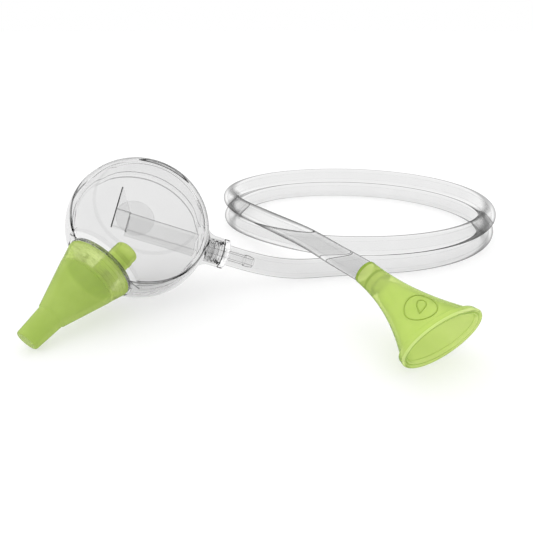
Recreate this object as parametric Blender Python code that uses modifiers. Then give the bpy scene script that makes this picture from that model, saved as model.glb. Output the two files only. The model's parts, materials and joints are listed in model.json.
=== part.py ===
"""Mouth-suction nasal aspirator, laid out on a flat surface.

A clear hollow ball traps the mucus. A green nozzle pushes onto a socket at one side of the
ball, and a clear hose leaves a threaded port at the other side, lies in two stacked turns and
ends in a green oval mouthpiece. Units are metres, +Z is up and the surface is z = 0.
"""

from math import atan2, cos, pi, radians, sin, sqrt

import bmesh
import bpy
from mathutils import Matrix, Vector

MM = 0.001
CLEARANCE = 0.3 * MM

# Hose: the driving dimension of the layout
HOSE_DIAMETER = 7.5 * MM
HOSE_POINT_SPACING = 1.45 * HOSE_DIAMETER
HOSE_STRAIGHT_END = 4.0 * MM

# Ball: two clear shells on one axis, the window shell carrying a flat round face
BALL_RADIUS = 24.5 * MM
BALL_WALL = 1.7 * MM
BALL_INNER = BALL_RADIUS - BALL_WALL
WINDOW_HEIGHT = 17.8 * MM
WINDOW_EDGE = 0.35 * MM
SEAM_HEIGHT = 7.2 * MM
SEAM_GROOVE = 0.35 * MM
SKIRT_OUTER = 22.95 * MM
SKIRT_INNER = 21.6 * MM
RIM_INNER = SKIRT_OUTER + CLEARANCE
BALL_STEPS = 48
SPHERE_ARC = 9.0

# Directions of the ball's nozzle and of its own axis, and the angle from nozzle to port
NOZZLE_AZIMUTH = radians(-123.2)
NOZZLE_ELEVATION = radians(-23.23)
BALL_ROLL = radians(48.8)
PORT_ANGLE = radians(115.8)

# Nozzle socket on the ball, measured along the nozzle axis from the ball's centre
SOCKET_FLOOR = 19.6 * MM
SOCKET_RADIUS = 12.7 * MM
SOCKET_PLATE = 1.8 * MM
NECK_END = 25.6 * MM
NECK_OUTER = 8.2 * MM
NECK_INNER = 7.2 * MM
NECK_RIB = 0.35 * MM
NECK_RIB_COUNT = 3

# Nozzle, same axis
NOZZLE_BASE = 21.0 * MM
NOZZLE_FLOOR = 27.4 * MM
NOZZLE_STEP = 43.0 * MM
NOZZLE_TIP = 53.6 * MM
NOZZLE_BASE_RADIUS = 12.1 * MM
NOZZLE_FLOOR_RADIUS = 10.2 * MM
NOZZLE_STEP_RADIUS = 4.95 * MM
NOZZLE_NECK_RADIUS = 4.55 * MM
NOZZLE_TIP_RADIUS = 3.8 * MM
NOZZLE_WALL = 1.3 * MM
NOZZLE_BORE = 2.4 * MM
SPIGOT_OFFSET = 2.6 * MM
SPIGOT_START = 9.3 * MM
SPIGOT_RADIUS = 4.2 * MM
SPIGOT_BORE = 2.9 * MM

# Hose port on the ball, measured along the port axis
COLLAR_END = 30.3 * MM
COLLAR_OUTER = 5.45 * MM
COLLAR_ROOT = 7.6 * MM
COLLAR_BORE = 4.4 * MM
COLLAR_FLOOR = 24.6 * MM
PORT_HOLE = 2.6 * MM

# Hose connector, same axis
FLANGE_THICKNESS = 1.9 * MM
PLUG_RADIUS = 3.55 * MM
THREAD_RADIUS = 4.05 * MM
BARB_ROOT_RADIUS = 1.75 * MM
BARB_RADIUS = 2.1 * MM
BARB_END = 43.4 * MM
BARB_LENGTH = 3.4 * MM
CONNECTOR_BORE = 1.1 * MM

# Air duct inside the ball: p runs to the port, h is the height towards the window
DUCT_HALF_WIDTH = 3.4 * MM
DUCT_HALF_DEPTH = 2.6 * MM
DUCT_WALL = 0.9 * MM
DUCT_INNER_END = -4.2 * MM
DUCT_OUTER_END = 21.0 * MM
BAFFLE_P = -9.4 * MM
BAFFLE_TOP = 13.6 * MM
BAFFLE_BOTTOM = -3.9 * MM
DISC_RADIUS = 6.6 * MM
DISC_THICKNESS = 0.9 * MM
DISC_PLACE = Vector((-2.3, 1.6, 0.0)) * MM

# Mouthpiece: a round neck that opens into an oval
MOUTH_LENGTH = 33.7 * MM
MOUTH_HALF_WIDTH = 17.2 * MM
MOUTH_HALF_DEPTH = 9.05 * MM
MOUTH_NECK_RADIUS = 4.05 * MM
MOUTH_WALL = 1.3 * MM
MOUTH_BORE = 2.5 * MM
LIP_LENGTH = 2.4 * MM
LIP_OVERHANG = 0.8 * MM
MOUTH_AZIMUTH = radians(-54.6)
MOUTH_TILT = radians(-15.2)

# Layout, in hose diameters, before the move that centres the object on the origin
LAYOUT_SHIFT = Vector((0.775, 5.277, 0.0))
BALL_CENTRE = Vector((-5.98, -3.01, 3.267))
MOUTH_NECK = Vector((4.18, -6.09, 2.40))

# Hose route in hose diameters. The two turns are arcs of one oval; the rest is laid by hand.
TURN_CENTRE = Vector((5.10, 6.33, 0.0))
TURN_HALF_WIDTH = 8.50
TURN_HALF_LENGTH = 7.29
LOWER_TURN_HEIGHT = 0.52
UPPER_TURN_HEIGHT = 1.55
LEAD_OUT = ((0.55, -1.90, 0.74), (1.72, -1.60, 0.53), (3.30, -1.22, 0.52))
CLIMB = ((0.26, 12.23, 0.52), (-0.57, 11.48, 0.52), (-1.33, 10.51, 0.52), (-1.93, 9.29, 0.52),
         (-2.27, 8.06, 0.52), (-2.26, 6.87, 0.52), (-1.93, 5.87, 0.54), (-1.43, 4.94, 0.61),
         (-0.87, 3.93, 0.74), (-0.30, 2.99, 0.88), (0.51, 1.83, 1.07), (1.48, 0.39, 1.37),
         (2.44, -0.57, 1.52), (3.58, -0.88, 1.55))
CROSSING = ((0.26, 12.33, 1.55), (-0.62, 11.66, 1.55), (-1.59, 10.54, 1.55),
            (-2.15, 9.47, 1.56), (-2.39, 8.32, 1.57), (-2.29, 7.12, 1.60),
            (-1.88, 5.87, 1.66), (-1.20, 4.43, 1.76), (-0.40, 2.82, 1.92), (0.30, 1.20, 2.14),
            (0.92, -0.40, 2.38), (1.50, -1.80, 2.56), (2.15, -3.04, 2.66), (2.72, -4.09, 2.66),
            (3.39, -5.21, 2.56))


def clear_scene():
    for item in list(bpy.data.objects):
        bpy.data.objects.remove(item)


def new_collection(name):
    collection = bpy.data.collections.new(name)
    bpy.context.scene.collection.children.link(collection)
    return collection


def plastic(name, colour, roughness, transmission):
    material = bpy.data.materials.new(name)
    material.use_nodes = True
    shader = material.node_tree.nodes["Principled BSDF"]
    shader.inputs["Base Color"].default_value = (*colour, 1.0)
    shader.inputs["Roughness"].default_value = roughness
    shader.inputs["Metallic"].default_value = 0.0
    shader.inputs["Transmission Weight"].default_value = transmission
    return material


def place(item, frame, collection, material):
    collection.objects.link(item)
    item.matrix_world = frame
    item.data.materials.append(material)
    return item


def turned(name, profile, frame, collection, material, steps=48):
    """Turn a profile of (radius, height) points about the frame's Z axis."""
    mesh = bpy.data.meshes.new(name)
    shape = bmesh.new()
    points = [shape.verts.new((radius, 0.0, height)) for radius, height in profile]
    for first, second in zip(points, points[1:]):
        shape.edges.new((first, second))
    touches_axis = profile[0][0] == 0.0 and profile[-1][0] == 0.0
    if not touches_axis:
        shape.edges.new((points[-1], points[0]))
    shape.to_mesh(mesh)
    shape.free()
    item = place(bpy.data.objects.new(name, mesh), frame, collection, material)
    screw = item.modifiers.new("turn", "SCREW")
    screw.axis = "Z"
    screw.steps = steps
    screw.render_steps = steps
    screw.use_merge_vertices = True
    screw.merge_threshold = 0.00001
    screw.use_smooth_shade = True
    return item


def arc(radius, start, end, centre=(0.0, 0.0), step=SPHERE_ARC):
    """Points of a circular arc in degrees from the Z axis, as (radius, height) pairs."""
    count = max(2, round(abs(end - start) / step))
    points = []
    for index in range(count + 1):
        angle = radians(start + (end - start) * index / count)
        points.append((centre[0] + radius * sin(angle), centre[1] + radius * cos(angle)))
    return points


def polar_angle(radius, height):
    """Angle in degrees from the Z axis to the point of a sphere at this height."""
    return 90.0 - atan2(height, sqrt(radius * radius - height * height)) * 180.0 / pi


def frame_from_axes(x_axis, z_axis, origin):
    y_axis = z_axis.cross(x_axis)
    rotation = Matrix((x_axis, y_axis, z_axis)).transposed()
    return Matrix.Translation(origin) @ rotation.to_4x4()


def cylinder(name, radius, bottom, top, frame, collection, material, steps=32):
    profile = [(0.0, top), (radius, top), (radius, bottom), (0.0, bottom)]
    return turned(name, profile, frame, collection, material, steps)


def box(name, low, high, frame, collection, material):
    mesh = bpy.data.meshes.new(name)
    shape = bmesh.new()
    bmesh.ops.create_cube(shape, size=1.0)
    size = [upper - lower for lower, upper in zip(low, high)]
    middle = [(upper + lower) / 2.0 for lower, upper in zip(low, high)]
    bmesh.ops.scale(shape, vec=size, verts=shape.verts)
    bmesh.ops.translate(shape, vec=middle, verts=shape.verts)
    shape.to_mesh(mesh)
    shape.free()
    return place(bpy.data.objects.new(name, mesh), frame, collection, material)


def combine(item, tool, operation):
    modifier = item.modifiers.new(tool.name, "BOOLEAN")
    modifier.operation = operation
    modifier.solver = "EXACT"
    modifier.object = tool


def hide_tools(collection):
    for tool in collection.objects:
        tool.hide_render = True
        tool.display_type = "WIRE"


def layout_point(point):
    return (Vector(point) + LAYOUT_SHIFT) * HOSE_DIAMETER


# Frames: the ball's own axis, its nozzle and its port lie square to one another in pairs

def direction(azimuth, elevation):
    level = cos(elevation)
    return Vector((level * cos(azimuth), level * sin(azimuth), sin(elevation)))


def ball_axes():
    nozzle = direction(NOZZLE_AZIMUTH, NOZZLE_ELEVATION)
    level = Vector((-nozzle.y, nozzle.x, 0.0)).normalized()
    upright = nozzle.cross(level)
    axis = cos(BALL_ROLL) * level + sin(BALL_ROLL) * upright
    side = axis.cross(nozzle)
    port = cos(PORT_ANGLE) * nozzle + sin(PORT_ANGLE) * side
    return nozzle, side, axis, port


NOZZLE_DIR, SIDE_DIR, BALL_DIR, PORT_DIR = ball_axes()
BALL_POINT = layout_point(BALL_CENTRE)
BALL_FRAME = frame_from_axes(NOZZLE_DIR, BALL_DIR, BALL_POINT)
NOZZLE_FRAME = frame_from_axes(SIDE_DIR, NOZZLE_DIR, BALL_POINT)
PORT_FRAME = frame_from_axes(BALL_DIR.cross(PORT_DIR), PORT_DIR, BALL_POINT)
DUCT_FRAME = frame_from_axes(PORT_DIR, BALL_DIR, BALL_POINT)
MOUTH_DIR = direction(MOUTH_AZIMUTH, MOUTH_TILT)
MOUTH_WIDE = Vector((-MOUTH_DIR.y, MOUTH_DIR.x, 0.0)).normalized()
MOUTH_FRAME = frame_from_axes(MOUTH_WIDE, MOUTH_DIR, layout_point(MOUTH_NECK))


# Ball

def build_window(collection, material):
    """Upper shell: flat round window, a zone of the sphere and a skirt inside the bowl's rim."""
    edge = polar_angle(BALL_RADIUS, WINDOW_HEIGHT)
    seam = polar_angle(BALL_RADIUS, SEAM_HEIGHT)
    inner_height = WINDOW_HEIGHT - BALL_WALL
    inner_edge = polar_angle(BALL_INNER, inner_height)
    shoulder = polar_angle(BALL_INNER, sqrt(BALL_INNER ** 2 - SKIRT_INNER ** 2))
    window_radius = BALL_RADIUS * sin(radians(edge))
    profile = [(0.0, WINDOW_HEIGHT), (window_radius - WINDOW_EDGE, WINDOW_HEIGHT)]
    profile += arc(BALL_RADIUS, edge + 1.0, seam)
    profile += [(SKIRT_OUTER, SEAM_HEIGHT), (SKIRT_OUTER, CLEARANCE), (SKIRT_INNER, CLEARANCE)]
    profile += arc(BALL_INNER, shoulder, inner_edge)
    profile.append((0.0, inner_height))
    return turned("ball_window_shell", profile, BALL_FRAME, collection, material, BALL_STEPS)


def build_bowl(collection, material):
    """Lower shell: a deep bowl whose rim takes the window shell's skirt."""
    seam = polar_angle(BALL_RADIUS, SEAM_HEIGHT)
    rim_top = SEAM_HEIGHT - SEAM_GROOVE
    profile = [(RIM_INNER, rim_top)]
    profile += arc(BALL_RADIUS, seam + 1.0, 180.0)
    profile[-1] = (0.0, -BALL_RADIUS)
    inside = arc(BALL_INNER, 180.0, 90.0)
    inside[0] = (0.0, -BALL_INNER)
    profile += inside
    profile.append((RIM_INNER, 0.0))
    profile.append((RIM_INNER, rim_top))
    return turned("ball_bowl_shell", closed_on_axis(profile), BALL_FRAME, collection, material,
                  BALL_STEPS)


def closed_on_axis(profile):
    """Start a profile that meets the axis twice at its inner axis point."""
    corners = [index for index, point in enumerate(profile) if point[0] == 0.0]
    start = corners[-1]
    loop = profile[start:-1] + profile[:start]
    return loop


def add_nozzle_socket(bowl, tools, material):
    """Flat seat and ribbed neck for the nozzle, cut into the side of the bowl."""
    floor_bottom = SOCKET_FLOOR - SOCKET_PLATE
    plate = cylinder("socket_plate", SOCKET_RADIUS + BALL_WALL, floor_bottom, SOCKET_FLOOR,
                     NOZZLE_FRAME, tools, material, 40)
    ball = turned("socket_limit", sphere_profile(BALL_RADIUS - 0.2 * MM), BALL_FRAME, tools,
                  material, BALL_STEPS)
    combine(plate, ball, "INTERSECT")
    pocket = cylinder("socket_pocket", SOCKET_RADIUS, SOCKET_FLOOR, BALL_RADIUS + MM,
                      NOZZLE_FRAME, tools, material, 40)
    neck = turned("socket_neck", neck_profile(), NOZZLE_FRAME, tools, material, 32)
    combine(bowl, plate, "UNION")
    combine(bowl, pocket, "DIFFERENCE")
    combine(bowl, neck, "UNION")
    return pocket


def sphere_profile(radius):
    points = arc(radius, 0.0, 180.0)
    points[0] = (0.0, radius)
    points[-1] = (0.0, -radius)
    return points


def neck_profile():
    """Short tube with fine ribs around its outer side."""
    root = SOCKET_FLOOR - 0.5 * SOCKET_PLATE
    rib_zone = NECK_END - SOCKET_FLOOR - 2.6 * MM
    pitch = rib_zone / NECK_RIB_COUNT
    profile = [(NECK_INNER, NECK_END), (NECK_OUTER - NECK_RIB, NECK_END)]
    for index in range(NECK_RIB_COUNT):
        crest = NECK_END - (index + 0.5) * pitch
        profile.append((NECK_OUTER - NECK_RIB, crest + 0.3 * pitch))
        profile.append((NECK_OUTER, crest))
        profile.append((NECK_OUTER - NECK_RIB, crest - 0.3 * pitch))
    profile += [(NECK_OUTER - NECK_RIB, root), (NECK_INNER, root)]
    return profile


def add_port_collar(bowl, tools, material):
    """Collar with a flared root for the hose connector."""
    root = COLLAR_FLOOR - 2.4 * MM
    flare = COLLAR_END - COLLAR_FLOOR
    profile = [(0.0, COLLAR_END), (COLLAR_OUTER, COLLAR_END), (COLLAR_OUTER, COLLAR_END - 0.45 * flare)]
    for step in (0.35, 0.65, 0.85, 1.0):
        radius = COLLAR_OUTER + (COLLAR_ROOT - COLLAR_OUTER) * step ** 2
        profile.append((radius, COLLAR_END - (0.45 + 0.55 * step) * flare))
    profile += [(COLLAR_ROOT, root), (0.0, root)]
    collar = turned("port_collar", profile, PORT_FRAME, tools, material, 28)
    bore = cylinder("port_bore", COLLAR_BORE, COLLAR_FLOOR, COLLAR_END + MM, PORT_FRAME, tools,
                    material, 28)
    combine(bowl, collar, "UNION")
    combine(bowl, bore, "DIFFERENCE")
    return collar


def cut_passages(bowl, window, tools, material):
    """Holes for the nozzle's spigot and the duct, and the notches they leave in the skirt."""
    spigot_frame = NOZZLE_FRAME @ Matrix.Translation((SPIGOT_OFFSET, 0.0, 0.0))
    spigot_hole = cylinder("spigot_hole", SPIGOT_RADIUS + CLEARANCE, SPIGOT_START, NECK_END,
                           spigot_frame, tools, material, 24)
    port_hole = cylinder("port_hole", PORT_HOLE, 0.5 * BALL_RADIUS, COLLAR_END, PORT_FRAME, tools,
                         material, 24)
    combine(bowl, spigot_hole, "DIFFERENCE")
    combine(bowl, port_hole, "DIFFERENCE")
    socket_notch = cylinder("socket_notch", SOCKET_RADIUS + BALL_WALL + CLEARANCE,
                            SOCKET_FLOOR - SOCKET_PLATE - CLEARANCE, BALL_RADIUS + 2.0 * MM,
                            NOZZLE_FRAME, tools, material, 40)
    port_notch = cylinder("port_notch", COLLAR_ROOT + CLEARANCE, 0.5 * BALL_RADIUS,
                          BALL_RADIUS + 2.0 * MM, PORT_FRAME, tools, material, 28)
    combine(window, socket_notch, "DIFFERENCE")
    combine(window, port_notch, "DIFFERENCE")


# Air path inside the ball

def build_duct(collection, tools, material):
    """Square duct from the port to the middle of the ball, with a wing that shields its mouth."""
    width = DUCT_HALF_WIDTH
    depth = DUCT_HALF_DEPTH
    duct = box("air_duct", (DUCT_INNER_END, -width, -depth), (DUCT_OUTER_END, width, depth),
               DUCT_FRAME, collection, material)
    channel = box("duct_channel", (DUCT_INNER_END - MM, DUCT_WALL - width, DUCT_WALL - depth),
                  (DUCT_OUTER_END + MM, width - DUCT_WALL, depth - DUCT_WALL), DUCT_FRAME, tools,
                  material)
    wing = flat_plate("duct_wing", wing_outline(), DUCT_WALL, depth - DUCT_WALL / 2.0, tools,
                      material)
    combine(duct, wing, "UNION")
    combine(duct, channel, "DIFFERENCE")
    return duct


def wing_outline():
    width = DUCT_HALF_WIDTH
    return [(DUCT_OUTER_END - MM, -width), (DUCT_OUTER_END - MM, width), (DUCT_INNER_END, width),
            (BAFFLE_P, BAFFLE_TOP), (BAFFLE_P, BAFFLE_BOTTOM)]


def flat_plate(name, outline, thickness, height, collection, material):
    """Plate cut to a flat outline, centred on this height in the duct's frame."""
    curve = bpy.data.curves.new(name, "CURVE")
    curve.dimensions = "2D"
    curve.fill_mode = "BOTH"
    curve.extrude = thickness / 2.0
    spline = curve.splines.new("POLY")
    spline.points.add(len(outline) - 1)
    for point, (x, y) in zip(spline.points, outline):
        point.co = (x, y, 0.0, 1.0)
    spline.use_cyclic_u = True
    frame = DUCT_FRAME @ Matrix.Translation((0.0, 0.0, height))
    return as_mesh(name, curve, frame, collection, material)


def as_mesh(name, curve, frame, collection, material):
    """Replace a curve by its closed mesh, ready for a Boolean."""
    source = bpy.data.objects.new(name + "_curve", curve)
    bpy.context.scene.collection.objects.link(source)
    bpy.context.view_layer.update()
    graph = bpy.context.evaluated_depsgraph_get()
    mesh = bpy.data.meshes.new_from_object(source.evaluated_get(graph))
    mesh.name = name
    bpy.data.objects.remove(source)
    shape = bmesh.new()
    shape.from_mesh(mesh)
    bmesh.ops.remove_doubles(shape, verts=shape.verts, dist=0.000001)
    bmesh.ops.recalc_face_normals(shape, faces=shape.faces)
    shape.to_mesh(mesh)
    shape.free()
    mesh.materials.clear()
    return place(bpy.data.objects.new(name, mesh), frame, collection, material)


def build_disc(collection, material):
    """Soft round flap that lies on the window side of the duct and its wing."""
    top = DUCT_HALF_DEPTH + CLEARANCE + DISC_THICKNESS
    rim = 0.25 * MM
    profile = [(0.0, top), (DISC_RADIUS - rim, top), (DISC_RADIUS, top - rim),
               (DISC_RADIUS, top - DISC_THICKNESS + rim), (DISC_RADIUS - rim, top - DISC_THICKNESS),
               (0.0, top - DISC_THICKNESS)]
    frame = DUCT_FRAME @ Matrix.Translation(DISC_PLACE)
    return turned("inlet_disc", profile, frame, collection, material, 32)


# Nozzle

def build_nozzle(collection, tools, material):
    """Cone with a skirt around the neck, a floor, a slim tip and an off-centre spigot."""
    wall = NOZZLE_WALL
    floor_low = NOZZLE_FLOOR - wall
    skirt_inner = NOZZLE_BASE_RADIUS - wall
    outer = [(NOZZLE_BORE, NOZZLE_TIP), (NOZZLE_TIP_RADIUS - 0.8 * MM, NOZZLE_TIP),
             (NOZZLE_TIP_RADIUS - 0.25 * MM, NOZZLE_TIP - 0.25 * MM),
             (NOZZLE_TIP_RADIUS, NOZZLE_TIP - 0.8 * MM),
             (NOZZLE_NECK_RADIUS, NOZZLE_STEP + 0.9 * MM), (NOZZLE_STEP_RADIUS, NOZZLE_STEP),
             (NOZZLE_FLOOR_RADIUS, NOZZLE_FLOOR), (NOZZLE_BASE_RADIUS, NOZZLE_BASE)]
    skirt = [(skirt_inner, NOZZLE_BASE), (NOZZLE_FLOOR_RADIUS - wall, floor_low)]
    centre = [(0.0, floor_low)]
    funnel = [(0.0, NOZZLE_FLOOR), (NOZZLE_FLOOR_RADIUS - 1.25 * wall, NOZZLE_FLOOR),
              (NOZZLE_BORE, NOZZLE_STEP - MM)]
    profile = funnel + outer + skirt + centre
    nozzle = turned("nozzle", profile, NOZZLE_FRAME, collection, material, 40)
    spigot_frame = NOZZLE_FRAME @ Matrix.Translation((SPIGOT_OFFSET, 0.0, 0.0))
    spigot = turned("spigot", spigot_profile(), spigot_frame, tools, material, 24)
    bore = cylinder("spigot_bore", SPIGOT_BORE, SPIGOT_START - MM, NOZZLE_FLOOR + 2.0 * MM,
                    spigot_frame, tools, material, 24)
    combine(nozzle, spigot, "UNION")
    combine(nozzle, bore, "DIFFERENCE")
    return nozzle


def spigot_profile():
    """Round-ended rod, bored later, that reaches into the ball."""
    round_radius = 1.0 * MM
    profile = [(0.0, NOZZLE_FLOOR - 0.4 * NOZZLE_WALL), (SPIGOT_RADIUS, NOZZLE_FLOOR - 0.4 * NOZZLE_WALL)]
    centre = (SPIGOT_RADIUS - round_radius, SPIGOT_START + round_radius)
    profile += arc(round_radius, 90.0, 180.0, centre, 30.0)
    profile.append((0.0, SPIGOT_START))
    return profile


def build_nozzle_seal(collection, material):
    """Flat ring on the socket floor, under the nozzle's skirt."""
    inner = NECK_OUTER + CLEARANCE
    outer = SOCKET_RADIUS - 2.0 * CLEARANCE
    low = SOCKET_FLOOR + CLEARANCE
    high = NOZZLE_BASE - CLEARANCE
    profile = [(inner, high), (outer - 0.2 * MM, high), (outer, high - 0.2 * MM), (outer, low),
               (inner, low)]
    return turned("nozzle_seal", profile, NOZZLE_FRAME, collection, material, 40)


# Hose connector

def build_connector(collection, material):
    """Threaded plug, grip flange and hose barb, bored through."""
    flange_low = COLLAR_END + CLEARANCE
    flange_high = flange_low + FLANGE_THICKNESS
    plug_low = COLLAR_FLOOR + CLEARANCE
    groove_low = plug_low + 0.7 * MM
    groove_high = groove_low + 1.7 * MM
    groove_radius = PLUG_RADIUS - 0.75 * MM
    profile = [(CONNECTOR_BORE, BARB_END), (BARB_ROOT_RADIUS, BARB_END),
               (BARB_RADIUS, BARB_END - 0.6 * BARB_LENGTH), (BARB_RADIUS, BARB_END - BARB_LENGTH),
               (BARB_ROOT_RADIUS, BARB_END - BARB_LENGTH), (BARB_ROOT_RADIUS, flange_high),
               (COLLAR_OUTER - 0.3 * MM, flange_high), (COLLAR_OUTER, flange_high - 0.3 * MM),
               (COLLAR_OUTER, flange_low), (PLUG_RADIUS, flange_low)]
    for crest in (flange_low - 1.1 * MM, flange_low - 2.5 * MM):
        profile += [(PLUG_RADIUS, crest + 0.5 * MM), (THREAD_RADIUS, crest + 0.15 * MM),
                    (THREAD_RADIUS, crest - 0.15 * MM), (PLUG_RADIUS, crest - 0.5 * MM)]
    profile += [(PLUG_RADIUS, groove_high), (groove_radius, groove_high),
                (groove_radius, groove_low), (PLUG_RADIUS, groove_low), (PLUG_RADIUS, plug_low),
                (CONNECTOR_BORE, plug_low)]
    return turned("hose_connector", profile, PORT_FRAME, collection, material, 28)


def build_connector_seal(collection, material):
    """Round-section ring in the plug's groove."""
    middle = COLLAR_FLOOR + CLEARANCE + 0.7 * MM + 0.85 * MM
    minor = 0.48 * MM
    major = (PLUG_RADIUS - 0.75 * MM + COLLAR_BORE) / 2.0
    ring = arc(minor, 0.0, 360.0, (major, middle), 60.0)
    return turned("connector_seal", ring[:-1], PORT_FRAME, collection, material, 28)


# Mouthpiece

def mouth_section(distance, inset):
    """Half width and half depth of the flare at this distance from the neck's end."""
    share = distance / MOUTH_LENGTH
    width = MOUTH_NECK_RADIUS + (MOUTH_HALF_WIDTH - MOUTH_NECK_RADIUS) * share ** 1.9
    depth = MOUTH_NECK_RADIUS + (MOUTH_HALF_DEPTH - MOUTH_NECK_RADIUS) * share ** 2.2
    return width - inset, depth - inset


def oval_ring(shape, width, depth, height, sides):
    angles = [2.0 * pi * index / sides for index in range(sides)]
    return [shape.verts.new((width * cos(turn), depth * sin(turn), height)) for turn in angles]


def build_mouthpiece(collection, material, sides=32):
    """Loft from the round neck to the oval lip and back down the inside to the bore."""
    shape = bmesh.new()
    rings = []
    stations = [MOUTH_LENGTH * share for share in (0.0, 0.1, 0.2, 0.31, 0.42, 0.53, 0.64, 0.74,
                                                   0.83, 0.91)]
    for distance in stations:
        width, depth = mouth_section(distance, 0.0)
        rings.append(oval_ring(shape, width, depth, distance, sides))
    width, depth = mouth_section(MOUTH_LENGTH - LIP_LENGTH, 0.0)
    edge = 0.3 * MM
    lip = [(0.0, 0.0), (LIP_OVERHANG, edge), (LIP_OVERHANG + edge, LIP_LENGTH - edge),
           (LIP_OVERHANG, LIP_LENGTH), (-edge, LIP_LENGTH), (-MOUTH_WALL, LIP_LENGTH - 3.0 * edge)]
    for out, along in lip:
        height = MOUTH_LENGTH - LIP_LENGTH + along
        rings.append(oval_ring(shape, width + out, depth + out, height, sides))
    for distance in reversed(stations[3:]):
        width, depth = mouth_section(distance, MOUTH_WALL)
        rings.append(oval_ring(shape, width, depth, distance, sides))
    for distance in (stations[2], 0.0):
        rings.append(oval_ring(shape, MOUTH_BORE, MOUTH_BORE, distance, sides))
    for ring, following in zip(rings, rings[1:] + rings[:1]):
        for index in range(sides):
            after = (index + 1) % sides
            shape.faces.new((ring[index], ring[after], following[after], following[index]))
    bmesh.ops.recalc_face_normals(shape, faces=shape.faces)
    mesh = bpy.data.meshes.new("mouthpiece")
    shape.to_mesh(mesh)
    shape.free()
    mesh.shade_smooth()
    mesh.set_sharp_from_angle(angle=radians(50.0))
    return place(bpy.data.objects.new("mouthpiece", mesh), MOUTH_FRAME, collection, material)


# Hose

def turn_point(degrees, height):
    angle = radians(degrees)
    across = TURN_HALF_WIDTH * cos(angle)
    along = TURN_HALF_LENGTH * sin(angle)
    return TURN_CENTRE + Vector((across, along, height))


def hose_route():
    """Points of the route in hose diameters, from the connector's barb to the mouthpiece."""
    ball = Vector(BALL_CENTRE)
    start = BARB_END + CLEARANCE
    points = [ball + PORT_DIR * ((start + run * MM) / HOSE_DIAMETER) for run in (0.0, 3.0)]
    points += [Vector(point) for point in LEAD_OUT]
    points += [turn_point(angle, LOWER_TURN_HEIGHT) for angle in range(-88, 117, 12)]
    points += [Vector(point) for point in CLIMB]
    points += [turn_point(angle, UPPER_TURN_HEIGHT) for angle in range(-92, 116, 12)]
    points += [Vector(point) for point in CROSSING]
    neck = Vector(MOUTH_NECK)
    points += [neck - MOUTH_DIR * (gap * MM / HOSE_DIAMETER) for gap in (3.0, 0.3)]
    return points


def between(first, second, share):
    return first.lerp(second, share)


def smooth_path(points, pieces=10):
    """Centripetal Catmull-Rom curve through the points."""
    ends = [2.0 * points[0] - points[1]] + points + [2.0 * points[-1] - points[-2]]
    path = []
    for before, start, end, after in zip(ends, ends[1:], ends[2:], ends[3:]):
        knots = [0.0]
        for first, second in ((before, start), (start, end), (end, after)):
            knots.append(knots[-1] + sqrt((second - first).length))
        for piece in range(pieces):
            value = knots[1] + (knots[2] - knots[1]) * piece / pieces
            outer = (value - knots[0]) / (knots[1] - knots[0])
            middle = (value - knots[1]) / (knots[2] - knots[1])
            last = (value - knots[2]) / (knots[3] - knots[2])
            early = between(between(before, start, outer), between(start, end, middle),
                            (value - knots[0]) / (knots[2] - knots[0]))
            late = between(between(start, end, middle), between(end, after, last),
                           (value - knots[1]) / (knots[3] - knots[1]))
            path.append(between(early, late, middle))
    path.append(points[-1])
    return path


def evenly_spaced(path, spacing):
    """Points at equal steps along a path, its two ends included."""
    lengths = [0.0]
    for first, second in zip(path, path[1:]):
        lengths.append(lengths[-1] + (second - first).length)
    count = round(lengths[-1] / spacing)
    points = []
    index = 0
    for step in range(count + 1):
        target = lengths[-1] * step / count
        while index < len(path) - 2 and lengths[index + 1] < target:
            index += 1
        share = (target - lengths[index]) / (lengths[index + 1] - lengths[index])
        points.append(between(path[index], path[index + 1], share))
    return points


def build_hose(collection, material):
    path = [layout_point(point) for point in smooth_path(hose_route())]
    points = evenly_spaced(path, HOSE_POINT_SPACING)
    points.insert(1, points[0] + HOSE_STRAIGHT_END * PORT_DIR)
    points.insert(-1, points[-1] - HOSE_STRAIGHT_END * MOUTH_DIR)
    curve = bpy.data.curves.new("air_hose", "CURVE")
    curve.dimensions = "3D"
    curve.bevel_depth = HOSE_DIAMETER / 2.0
    curve.bevel_resolution = 4
    curve.use_fill_caps = True
    spline = curve.splines.new("POLY")
    spline.points.add(len(points) - 1)
    for point, place_at in zip(spline.points, points):
        point.co = (*place_at, 1.0)
    return place(bpy.data.objects.new("air_hose", curve), Matrix.Identity(4), collection, material)


def main():
    clear_scene()
    parts = new_collection("nasal_aspirator")
    tools = new_collection("cutters")
    clear = plastic("clear_shell", (0.93, 0.94, 0.94), 0.06, 0.9)
    window_clear = plastic("clear_window", (0.93, 0.94, 0.95), 0.05, 0.9)
    duct_clear = plastic("clear_duct", (0.90, 0.91, 0.91), 0.10, 0.8)
    disc_soft = plastic("soft_disc", (0.80, 0.81, 0.82), 0.35, 0.6)
    seal_grey = plastic("seal_ring", (0.30, 0.31, 0.33), 0.45, 0.2)
    plug_clear = plastic("clear_connector", (0.92, 0.93, 0.93), 0.08, 0.9)
    plug_seal = plastic("connector_ring", (0.30, 0.31, 0.33), 0.45, 0.2)
    hose_clear = plastic("clear_hose", (0.90, 0.91, 0.91), 0.12, 0.85)
    nozzle_green = plastic("green_nozzle", (0.45, 0.66, 0.10), 0.18, 0.6)
    mouth_green = plastic("green_mouthpiece", (0.50, 0.72, 0.14), 0.20, 0.6)

    bowl = build_bowl(parts, clear)
    window = build_window(parts, window_clear)
    add_nozzle_socket(bowl, tools, clear)
    add_port_collar(bowl, tools, clear)
    cut_passages(bowl, window, tools, clear)
    build_duct(parts, tools, duct_clear)
    build_disc(parts, disc_soft)
    build_nozzle(parts, tools, nozzle_green)
    build_nozzle_seal(parts, seal_grey)
    build_connector(parts, plug_clear)
    build_connector_seal(parts, plug_seal)
    build_hose(parts, hose_clear)
    build_mouthpiece(parts, mouth_green)
    hide_tools(tools)


main()
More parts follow.
